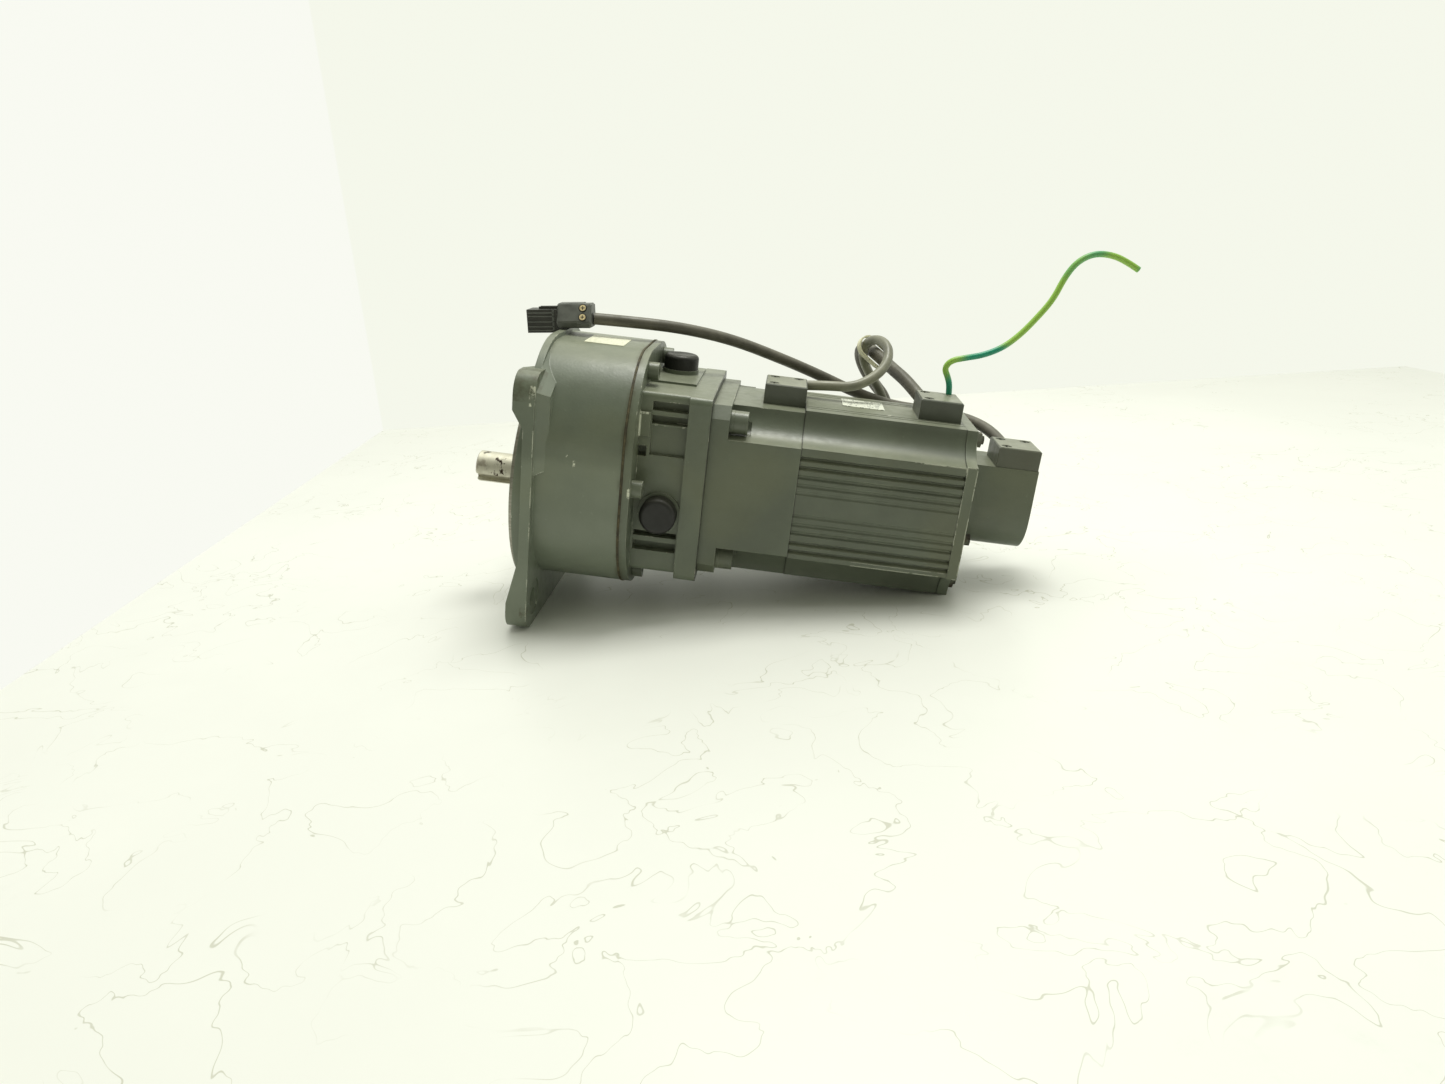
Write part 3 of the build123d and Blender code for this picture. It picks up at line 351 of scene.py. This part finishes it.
def rusty(name, base, rust):
    """Steel or a joint with rust in patches."""
    s = Shade(name, roughness=0.8)
    tone = s.mix(s.ramp(s.noise(300, 6, 0.7), 0.4, 0.65), base, rust)
    s.colour(s.mix(s.ramp(s.noise(90, 5, 0.7), 0.45, 0.65), tone, (0.035, 0.030, 0.022)))
    s.bump(s.noise(900, 4, 0.7), strength=0.6, distance=0.0003)
    return s.material


def steel(name, base, roughness, stain=0.25):
    """Turned or ground steel: fine rings round the shaft's axis, light staining."""
    s = Shade(name, roughness=roughness, metallic=1.0)
    rings = s.noise(1, 2, 0.5, stretch=(1500, 12, 12))
    tone = s.mix(s.ramp(rings, 0.3, 0.7), shaded(base, 0.9), base)
    tone = s.mix(s.ramp(s.noise(60, 5, 0.65), 0.56, 0.64, 0, stain), tone, (0.14, 0.09, 0.05))
    spots = s.ramp(s.noise(160, 3, 0.5), 0.66, 0.69, 0, 0.7)
    s.colour(s.mix(spots, tone, (0.035, 0.022, 0.014)))
    s.rough(s.ramp(s.noise(200, 4, 0.6), 0.2, 0.8, roughness * 0.85, roughness * 1.3))
    s.bump(rings, strength=0.04, distance=0.00005)
    return s


def rubber(name, base, dust, roughness):
    """Rubber or a cable's jacket, with dust on its upper side."""
    s = Shade(name, roughness=roughness)
    tone = s.mix(s.ramp(s.noise(40, 5, 0.65), 0.3, 0.7), shaded(base, 0.7), shaded(base, 1.4))
    cloud = s.ramp(s.noise(220, 6, 0.7), 0.4, 0.8, 0.1, dust)
    tone = s.mix(s.math("MULTIPLY", s.facing_up(0.1, 1.0), cloud), tone, (0.30, 0.29, 0.22))
    s.colour(tone)
    s.rough(s.ramp(s.noise(120, 4, 0.6), 0.3, 0.8, roughness * 0.8, min(1, roughness * 1.25)))
    s.bump(s.noise(500, 4, 0.6), strength=0.25, distance=0.0002)
    return s.material


def moulded(name, base, roughness):
    """Moulded plastic with edges rubbed a little lighter."""
    s = Shade(name, roughness=roughness)
    tone = s.mix(s.ramp(s.noise(150, 5, 0.6), 0.3, 0.7), shaded(base, 0.8), shaded(base, 1.25))
    edge = s.math("MULTIPLY", s.edges(0.0004), 0.25)
    s.colour(s.mix(edge, tone, tuple(min(1, c * 3 + 0.05) for c in base)))
    s.rough(s.ramp(s.noise(300, 4, 0.6), 0.3, 0.8, roughness * 0.85, roughness * 1.3))
    s.bump(s.noise(1400, 3, 0.6), strength=0.2, distance=0.0001, soft_edge=0.0003)
    return s.material


def striped(name, green, yellow):
    """Earth wire: a green jacket whose yellow side shows here and there."""
    s = Shade(name, roughness=0.38)
    stripe = s.ramp(s.noise(34, 0, 0), 0.44, 0.62, 0, 0.8)
    tone = s.mix(s.ramp(s.noise(140, 4, 0.6), 0.3, 0.7), shaded(green, 0.8), green)
    s.colour(s.mix(stripe, tone, yellow))
    s.bump(s.noise(700, 3, 0.6), strength=0.03, distance=0.0001)
    return s.material


def printed(name, paper, ink):
    """Aged paper label with rows of short bars instead of lettering."""
    s = Shade(name, roughness=0.45)
    rows = s.node("ShaderNodeTexWave", wave_type="BANDS", bands_direction="Y")
    rows.inputs["Scale"].default_value = 62
    s.link(s.place, rows.inputs["Vector"])
    bars = s.noise(1, 2, 0.5, stretch=(620, 95, 1))
    mark = s.math("MULTIPLY", s.ramp(rows.outputs["Fac"], 0.45, 0.6), s.ramp(bars, 0.51, 0.56))
    aged = s.ramp(s.noise(90, 5, 0.65), 0.45, 0.8, 0, 0.4)
    tone = s.mix(aged, paper, shaded(paper, 0.72))
    s.colour(s.mix(s.math("MULTIPLY", mark, 0.75), tone, ink))
    s.bump(s.noise(300, 4, 0.6), strength=0.15, distance=0.0001)
    return s.material


PAINT = (0.128, 0.148, 0.106)
CASE_PAINT = (0.143, 0.166, 0.124)
STATOR_PAINT = (0.112, 0.128, 0.093)
SEAL = (0.066, 0.058, 0.030)
# painted shade in the narrow gaps between parts
GAP_SHADE = (0.022, 0.024, 0.018)
EAR_STAIN = (0.078, 0.076, 0.042)
FOOT_STAIN = (0.085, 0.070, 0.038)

casting = painted("painted_casting", shaded(PAINT, 0.93))
case_finish = painted("gear_case_finish", CASE_PAINT, chips=0.59)
# painted light: the case's side lighter below its middle
paler_below(case_finish, height=0.0285, amount=0.24, soft=0.004)
machined_front(case_finish)
bell_finish = painted("bell_finish", PAINT, chips=0.58)
stator_finish = painted("stator_finish", STATOR_PAINT, chips=0.68, cast=0.15)
# joint lines: gear case to bell housing, stained by the seal; bell housing to motor and the stator
# housing's two ends, painted shade in their gaps
seam_stain_and_shade(case_finish, 0.0602, SEAL)
seam_stain_and_shade(bell_finish, 0.0608, SEAL)
seam_stain_and_shade(bell_finish, 0.1050, GAP_SHADE, 0.0004, 0.0012)
seam_stain_and_shade(stator_finish, 0.1561, (0.020, 0.020, 0.014), 0.0007, 0.0014)
seam_stain_and_shade(stator_finish, 0.2484, GAP_SHADE, 0.0005, 0.0010)
shaft_finish = steel("bright_steel", (0.66, 0.64, 0.54), 0.54, 0.45)

# grime on the shaft
wear(shaft_finish, (-28.5, -12, -3), (-20.5, -4, 8), 0.53, grain=260, edge_only=False, tint=GRIME)
# the flange's rear edge, the upper ear, a nick on the case in two strokes, stains on the ears
wear(case_finish, (10.5, -76.5, -74), (13.5, -73.5, 45), 0.50, grain=90)
wear(case_finish, (9, -76.5, 58), (13.5, -73.5, 70), 0.47, grain=220, edge_only=False)
wear(case_finish, (33.2, -70.5, 26.2), (34.4, -69, 30), 0.47, grain=700, edge_only=False)
wear(case_finish, (29.2, -70.5, 31.5), (30.2, -69, 33.5), 0.50, grain=700, edge_only=False)
wear(case_finish, (-1, -76.5, 60), (14, -55, 76.5), 0.38, grain=90, edge_only=False, fade=0.4,
     tint=EAR_STAIN)
wear(case_finish, (8, -76.5, -76.5), (14, -70, -58), 0.44, grain=200, edge_only=False, fade=0.3,
     tint=FOOT_STAIN)
# two edges of the name pad, and under a case screw's washer
wear(bell_finish, (65, -54, 43.5), (66.4, -51.8, 59), 0.36, edge_only=False)
wear(bell_finish, (65, -54, 57), (71.2, -51.8, 59), 0.44, edge_only=False)
wear(bell_finish, (64, -70.5, 12), (65.8, -64, 19), 0.48, grain=300, edge_only=False)
# the motor's upper and lower edges, and its rear bracket
wear(stator_finish, (218, -51, 45), (248.5, -48, 49), 0.44)
wear(stator_finish, (193, -51, -20), (248.5, -48, -15), 0.40)
wear(casting, (247.5, -51, -20), (254.5, -48, 49), 0.48)

sunk_screw = painted("sunk_screw", (0.10, 0.112, 0.088), chips=0.7)
# painted shade: a near-black ring along the screw heads' edges, for the shadow in their recesses
sunk_screw.over(sunk_screw.edges(0.0011, 0.985), (0.008, 0.009, 0.007))

MATERIALS = {
    "painted_casting": casting.material,
    "painted_extrusion": stator_finish.material,
    "painted_block": painted("painted_block", (0.088, 0.097, 0.076), 0.68, top_dust_and_light=0.75).material,
    "painted_screw": painted("painted_screw", (0.125, 0.142, 0.105), 0.60).material,
    "sunk_screw": sunk_screw.material,
    "gear_case": case_finish.material,
    "bell_housing": bell_finish.material,
    "rusty_joint": rusty("rusty_joint", (0.085, 0.068, 0.045), (0.17, 0.105, 0.055)),
    "gasket_seal": rusty("gasket_seal", SEAL, (0.120, 0.102, 0.052)),
    "plain_label": printed("plain_label", (0.84, 0.84, 0.66), (0.66, 0.67, 0.52)),
    "rusty_steel": rusty("rusty_steel", (0.135, 0.148, 0.110), (0.115, 0.085, 0.055)),
    "black_screw": moulded("black_screw", (0.022, 0.022, 0.02), 0.4),
    "black_rubber": rubber("black_rubber", (0.009, 0.009, 0.008), 0.12, 0.5),
    "bright_steel": shaft_finish.material,
    "machined_steel": steel("machined_steel", (0.55, 0.54, 0.50), 0.35).material,
    "gear_steel": steel("gear_steel", (0.42, 0.41, 0.38), 0.35).material,
    "lamination": steel("lamination", (0.26, 0.26, 0.27), 0.5).material,
    "magnet": steel("magnet", (0.30, 0.30, 0.31), 0.4).material,
    "friction": moulded("friction", (0.16, 0.13, 0.10), 0.8),
    "copper_wire": moulded("copper_wire", (0.42, 0.16, 0.05), 0.4),
    "circuit_board": moulded("circuit_board", (0.03, 0.16, 0.07), 0.4),
    "paper_label": printed("paper_label", (0.78, 0.80, 0.70), (0.13, 0.15, 0.13)),
    "dark_jacket": rubber("dark_jacket", (0.092, 0.085, 0.066), 0.35, 0.5),
    "grey_jacket": rubber("grey_jacket", (0.20, 0.20, 0.15), 0.4, 0.45),
    "green_jacket": striped("green_jacket", (0.012, 0.33, 0.19), (0.36, 0.58, 0.05)),
    "core_jacket": moulded("core_jacket", (0.55, 0.55, 0.50), 0.4),
    "hood_plastic": moulded("hood_plastic", (0.110, 0.116, 0.104), 0.5),
    "black_plastic": moulded("black_plastic", (0.048, 0.048, 0.042), 0.45),
    # painted shade: near-black, for the shade inside the hood screws' recesses
    "recess": moulded("recess", (0.006, 0.006, 0.005), 0.6),
    "brass_screw": steel("brass_screw", (0.92, 0.78, 0.48), 0.5, 0.2).material,
    "tie_nylon": moulded("tie_nylon", (0.66, 0.64, 0.44), 0.35),
}
# CAD nodes whose material isn't the one of their slot in the record
OWN_MATERIAL = {
    "gear_case": "gear_case",
    "bell_housing": "bell_housing",
    "case_gasket": "gasket_seal",
    "outlet_block_screws": "sunk_screw",
    "gearbox_label": "plain_label",
}
SLOT_OF = {part["node"]: part["material_slot"] for part in frame["record"]["subparts"]}


def give(piece, material):
    piece.data.materials.clear()
    piece.data.materials.append(MATERIALS[material])


for name, node in NODES.items():
    give(node, OWN_MATERIAL.get(name, SLOT_OF[name]))
for lead, slot in ((encoder_lead, "dark_jacket"), (power_lead, "dark_jacket"),
                   (brake_lead, "grey_jacket"), (earth_wire, "green_jacket")):
    give(lead, slot)

# ---- connector of the encoder lead --------------------------------------------------------
# Its pieces are drawn in millimetres on its own axes: X along it, from the nose at the negative
# end to the lead at 0, Y away from the camera and Z up. It lies tilted on the gear case.
TILT = math.radians(7)
CONNECTOR_AT = Vector((24, 8, 98.8)) * MM
CONNECTOR_X = Vector((math.cos(TILT), 0, math.sin(TILT)))
CONNECTOR_Z = Vector((-math.sin(TILT), 0, math.cos(TILT)))
RIB_Y, RIB_THICK = -7.2, 0.7
RIB_ROUNDING = 0.15


def place_on_connector(mesh, name, slot, material=None, replaced=None):
    """Turn a mesh drawn on the connector's axes into a piece at its place."""
    for vert in mesh.verts:
        x, y, z = vert.co
        vert.co = CONNECTOR_AT + (CONNECTOR_X * x + Vector((0, y, 0)) + CONNECTOR_Z * z) * MM
    data = bpy.data.meshes.new(name)
    mesh.to_mesh(data)
    mesh.free()
    piece = add_object(name, data)
    give(piece, material or slot)
    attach(piece, "frame")
    if replaced:
        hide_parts(replaced)
    return piece


def add_bar(mesh, centre, along, across, out, size):
    """A bar with the given centre, axes and size."""
    for vert in bmesh.ops.create_cube(mesh, size=1.0)["verts"]:
        x, y, z = vert.co
        vert.co = centre + along * x * size[0] + across * y * size[1] + out * z * size[2]


def prism(mesh, start, end, section, round_off=0.5):
    """Closed solid with the (y, z) section between two stations, its edges rounded."""
    rings = [[mesh.verts.new((x, y, z)) for y, z in section] for x in (start, end)]
    count = len(section)
    faces = [mesh.faces.new(rings[0]), mesh.faces.new(list(reversed(rings[1])))]
    for k in range(count):
        nxt = (k + 1) % count
        faces.append(mesh.faces.new((rings[0][k], rings[1][k], rings[1][nxt], rings[0][nxt])))
    edges = {edge for face in faces for edge in face.edges}
    bmesh.ops.bevel(mesh, geom=list(edges), offset=round_off, segments=3, affect="EDGES")


# five ribs along the nose and one upright rib across their ends
RIBS = [((-30.0, RIB_Y, z), (16.0, RIB_THICK, 0.8)) for z in (-7.6, -5.4, -2.6, 0.6, 2.6)]
RIBS += [((-22.5, RIB_Y, -2.2), (1.2, RIB_THICK, 12.6))]
rib_mesh = bmesh.new()
for place, size in RIBS:
    add_bar(rib_mesh, Vector(place), Vector((1, 0, 0)), Vector((0, 1, 0)), Vector((0, 0, 1)), size)
bmesh.ops.bevel(rib_mesh, geom=list(rib_mesh.edges), offset=RIB_ROUNDING, segments=2,
                affect="EDGES")
place_on_connector(rib_mesh, "nose_ribs", "hood_plastic")

# the hood's near face leans back, with a dark bevel under it; the lead's end is a thicker block
HOOD_FACE = ((-3.2, 7.6), (-8.5, -2.6))
HOOD_SECTION = [(8.5, -6.5), (8.5, 6.4), (7.2, 7.6), *HOOD_FACE, (-6.6, -6.5)]
BLOCK_SECTION = [(8.0, -6.5), (8.0, 6.0), (6.8, 7.2), (-3.3, 7.2), (-8.5, -3.0), (-7.6, -6.5)]
PAD_SECTION = [(3.0, 7.0), (3.0, 7.7), (-2.6, 7.7), (-2.6, 7.0)]
hood_mesh = bmesh.new()
prism(hood_mesh, -20.5, -5.0, HOOD_SECTION)
prism(hood_mesh, -9.0, 0.0, BLOCK_SECTION, 0.7)
prism(hood_mesh, -14.0, -8.0, PAD_SECTION, 0.2)
bmesh.ops.recalc_face_normals(hood_mesh, faces=hood_mesh.faces)
hood = place_on_connector(hood_mesh, "hood", "hood_plastic", replaced="connector_hood")

# two cross-recessed screws in the leaning face; the dark ring round each head and the cross in it
# are near-black solids, painted shade of the recesses
SCREW_X = -5.0
SCREW_SHARES = (0.26, 0.76)  # of the way down the leaning face
RING = (2.6, -1.0, 0.12)     # radius, and where it starts and ends along the face's normal
HEAD = (2.0, -1.0, 0.35)
HEAD_TAPER = 0.94
CROSS_LONG, CROSS_WIDE, CROSS_DEEP, CROSS_OUT = 2.3, 0.45, 0.3, 0.25
face_top, face_foot = HOOD_FACE
lengthways = Vector((1, 0, 0))
downslope = Vector((0, face_foot[0] - face_top[0], face_foot[1] - face_top[1])).normalized()
outward = Vector((0, downslope.z, -downslope.y))
turn = axes_matrix(lengthways, downslope, outward)
head_mesh = bmesh.new()
recess_mesh = bmesh.new()
for share in SCREW_SHARES:
    centre = Vector((SCREW_X, *(a + (b - a) * share for a, b in zip(*HOOD_FACE))))
    for mesh, (radius, start, end) in ((recess_mesh, RING), (head_mesh, HEAD)):
        middle = Matrix.Translation(centre + outward * (start + end) / 2)
        bmesh.ops.create_cone(mesh, cap_ends=True, segments=32, radius1=radius,
                              radius2=radius * HEAD_TAPER, depth=end - start, matrix=middle @ turn)
    for long, wide in ((CROSS_LONG, CROSS_WIDE), (CROSS_WIDE, CROSS_LONG)):
        add_bar(recess_mesh, centre + outward * CROSS_OUT, lengthways, downslope, outward,
                (long, wide, CROSS_DEEP))
hood_screws = place_on_connector(head_mesh, "hood_screws", "brass_screw",
                                 replaced="connector_screws")
# the recesses' painted shade as near-black pieces
place_on_connector(recess_mesh, "screw_recesses", "black_plastic", material="recess")

# ---- floor and light ----------------------------------------------------------------------
# The object lies on the flange's lower edge and on the lower edge of the motor's rear bracket,
# in a white booth: floor, left wall and back wall pale, ceiling bright, front open and dimmer.
FRONT_EDGE = Vector((12, 0, -75)) * MM
REAR_EDGE = Vector((254.2, 0, MOTOR_AXIS_Z - 50)) * MM
FLOOR_UP = (REAR_EDGE - FRONT_EDGE).normalized().cross(Vector((0, 1, 0)))
BOOTH_CORNER = Vector((-0.328, 0.535, -0.131))
# the floor's corners in x and y: the far ones, then the near ones
FAR_LEFT, FAR_RIGHT = Vector((-0.328, 0.535)), Vector((0.901, 0.673))
NEAR_LEFT, NEAR_RIGHT = Vector((-0.10, -1.7)), Vector((1.25, -1.7))
FLOOR_STEPS = 12
FLOOR_TONE = (0.83, 0.835, 0.80)
SCRATCH_TONE = (0.42, 0.42, 0.30)
BACK_WALL = (0.915, 0.935, 0.83)
LEFT_WALL = (0.945, 0.955, 0.885)
OPEN_FRONT = (0.30, 0.305, 0.24)
CEILING = (1.10, 1.13, 1.0)
LIGHT_AIM = Vector((0.13, 0, 0))
LIGHT_AT = LIGHT_AIM + Vector((-0.05, 0.20, 1.15))
LIGHT_SIZE, LIGHT_POWER, LIGHT_COLOUR = 0.42, 8.1, (1, 1, 0.93)


def floor_finish():
    s = Shade("pale_floor", roughness=0.4)
    tone = s.mix(s.ramp(s.noise(4, 5, 0.6), 0.35, 0.7), FLOOR_TONE, shaded(FLOOR_TONE, 1.04))
    smudge = s.math("MULTIPLY", s.ramp(s.noise(7, 6, 0.7), 0.50, 0.72),
                    s.ramp(s.noise(60, 5, 0.75), 0.5, 0.8, 0, 0.3))
    tone = s.mix(smudge, tone, shaded(FLOOR_TONE, 0.8))
    # a thin line wherever a smooth noise crosses its middle, kept only here and there
    level = s.math("SUBTRACT", s.noise(26, 3, 0.5, distortion=0.6), 0.5)
    hairline = s.ramp(s.math("ABSOLUTE", level), 0.0012, 0.004, 1, 0)
    scratch = s.math("MULTIPLY", s.ramp(s.noise(11, 4, 0.6), 0.44, 0.56, 0, 0.55), hairline)
    s.colour(s.mix(scratch, tone, SCRATCH_TONE))
    return s.material


def add_floor():
    """A grid that follows the booth's outline, so that the floor is one even sheet."""
    mesh = bmesh.new()
    rows = []
    for i in range(FLOOR_STEPS + 1):
        left = NEAR_LEFT.lerp(FAR_LEFT, i / FLOOR_STEPS)
        right = NEAR_RIGHT.lerp(FAR_RIGHT, i / FLOOR_STEPS)
        row = []
        for k in range(FLOOR_STEPS + 1):
            x, y = left.lerp(right, k / FLOOR_STEPS)
            drop = (Vector((x, y, 0)) - FRONT_EDGE).dot(FLOOR_UP) / FLOOR_UP.z
            row.append(mesh.verts.new((x, y, -drop)))
        rows.append(row)
    for low, high in zip(rows, rows[1:]):
        for k in range(FLOOR_STEPS):
            mesh.faces.new((low[k], low[k + 1], high[k + 1], high[k]))
    data = bpy.data.meshes.new("floor")
    mesh.to_mesh(data)
    mesh.free()
    data.materials.append(floor_finish())
    add_object("floor", data)


def add_world():
    """The booth's walls, ceiling and open front as directions that the light comes from."""
    world = bpy.data.worlds.new("studio")
    world.use_nodes = True
    tree = world.node_tree
    background = tree.nodes["Background"]
    direction = tree.nodes.new("ShaderNodeTexCoord").outputs["Generated"]

    def towards(vector, low, high):
        dot = tree.nodes.new("ShaderNodeVectorMath")
        dot.operation = "DOT_PRODUCT"
        dot.inputs[1].default_value = vector
        tree.links.new(direction, dot.inputs[0])
        ramp = tree.nodes.new("ShaderNodeMapRange")
        ramp.interpolation_type = "SMOOTHSTEP"
        ramp.inputs["From Min"].default_value = low
        ramp.inputs["From Max"].default_value = high
        tree.links.new(dot.outputs["Value"], ramp.inputs["Value"])
        return ramp.outputs["Result"]

    def blend(amount, first, second):
        mix = tree.nodes.new("ShaderNodeMix")
        mix.data_type = "RGBA"
        tree.links.new(amount, mix.inputs["Factor"])
        sockets = [s for s in mix.inputs if s.type == "RGBA"]
        for socket, value in zip(sockets, (first, second)):
            if isinstance(value, tuple):
                socket.default_value = (*value, 1)
            else:
                tree.links.new(value, socket)
        return [s for s in mix.outputs if s.type == "RGBA"][0]

    # the plane through the camera's place and the booth's upright corner parts the two walls
    corner = (BOOTH_CORNER - CAMERA_AT).cross(FLOOR_UP).normalized()
    walls = blend(towards(corner, -0.001, 0.001), LEFT_WALL, BACK_WALL)
    walls = blend(towards(FLOOR_UP, 0.64, 0.78), walls, CEILING)
    booth = blend(towards((0, -1, 0), 0.16, 0.34), walls, OPEN_FRONT)
    tree.links.new(booth, background.inputs["Color"])
    bpy.context.scene.world = world


def add_light():
    data = bpy.data.lights.new("overhead", "AREA")
    data.energy = LIGHT_POWER
    data.color = LIGHT_COLOUR
    data.shape = "SQUARE"
    data.size = LIGHT_SIZE
    light = add_object("overhead", data)
    light.location = LIGHT_AT
    light.rotation_mode = "QUATERNION"
    light.rotation_quaternion = (LIGHT_AIM - LIGHT_AT).to_track_quat("-Z", "Y")


add_floor()
add_world()
add_light()

bpy.context.scene.view_settings.view_transform = "Standard"
